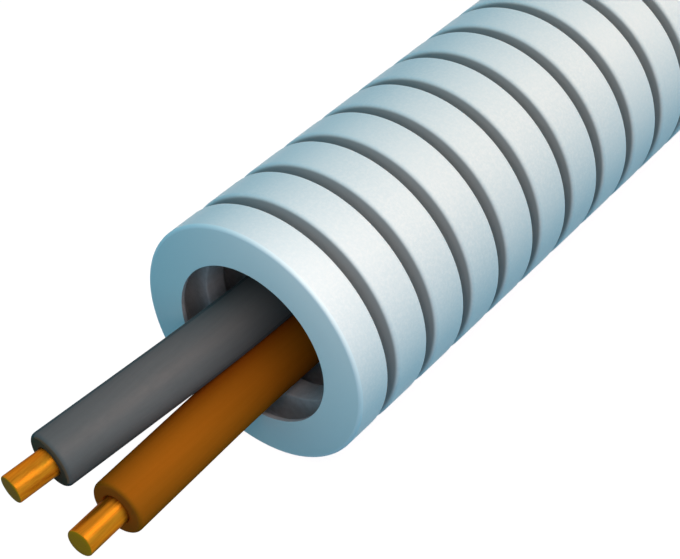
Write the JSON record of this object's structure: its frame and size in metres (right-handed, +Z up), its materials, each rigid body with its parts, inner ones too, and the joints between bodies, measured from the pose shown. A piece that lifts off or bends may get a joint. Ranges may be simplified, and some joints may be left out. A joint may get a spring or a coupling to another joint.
{
  "type": "corrugated conduit",
  "caption": "Straight pliable corrugated conduit for electrical wiring, with single-core copper wires drawn in and stripped at one end.",
  "frame": {"origin": "centre of the conduit's near end face, where the stripped wires come out", "axes": "+X along the conduit into it, +Z up with the conduit lying on its side"},
  "size_m": [1.0168, 0.016, 0.016],
  "materials": {
    "conduit_plastic": "satin white",
    "grey_insulation": "satin dark grey",
    "brown_insulation": "satin brown",
    "copper": "bright drawn copper"
  },
  "bodies": {
    "root": {"conduit": "conduit_plastic", "grey_wire_insulation": "grey_insulation", "grey_wire_conductor": "copper", "brown_wire_insulation": "brown_insulation", "brown_wire_conductor": "copper"}
  },
  "joints": []
}
